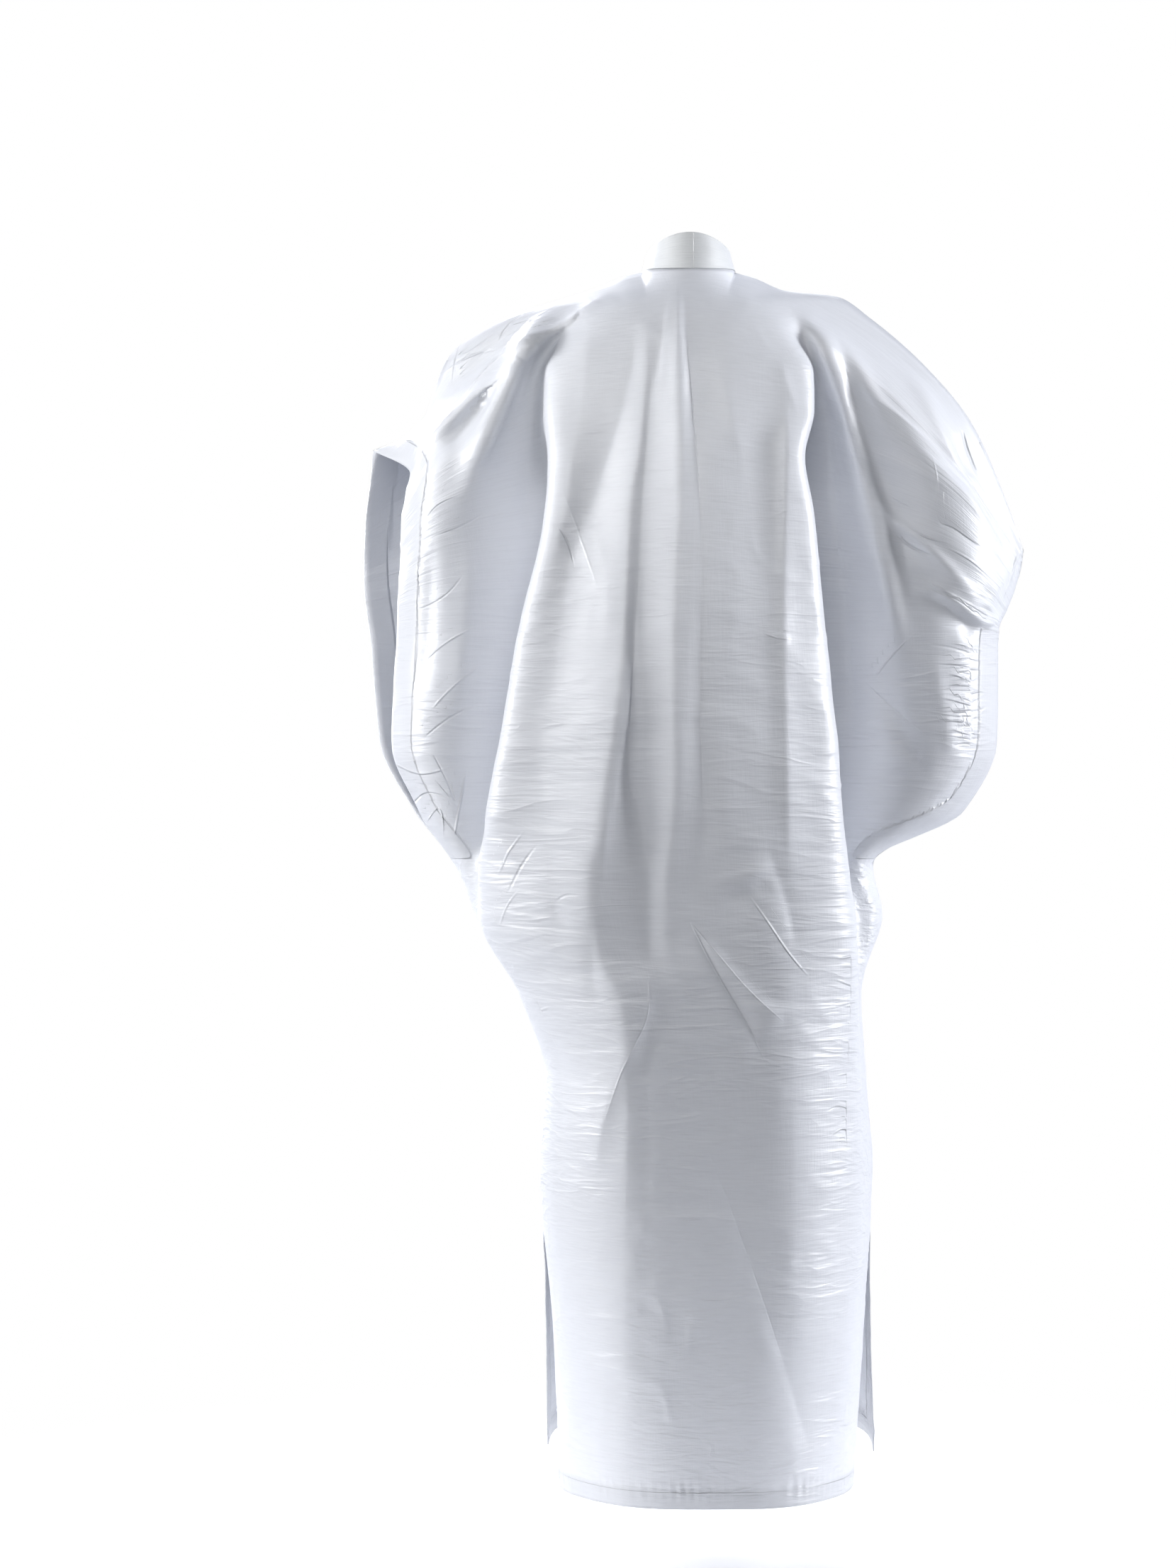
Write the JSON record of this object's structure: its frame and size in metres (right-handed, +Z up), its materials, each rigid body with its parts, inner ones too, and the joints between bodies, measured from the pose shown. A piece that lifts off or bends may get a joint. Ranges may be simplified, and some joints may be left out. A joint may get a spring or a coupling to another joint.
{
  "type": "grand boubou robe",
  "caption": "Full-length wide-sleeved boubou robe in worn, hollow form, with stand collar, neck slit, hip-deep open sleeves and side vents.",
  "frame": {"origin": "middle of the neck, level with the collar seam at the nape, where the wearer's neck and shoulders carry the robe", "axes": "+Z up, -Y the way the wearer faces, +X the wearer's left"},
  "size_m": [0.8382, 0.3675, 1.553],
  "materials": {
    "cloth": "crisp cool-white satin-faced cloth with fine cross slubs",
    "collar": "the same cloth, doubled and stiffened"
  },
  "bodies": {
    "root": {"back_panel": "cloth", "front_panel": "cloth", "collar_left": "collar", "collar_right": "collar"}
  },
  "joints": []
}
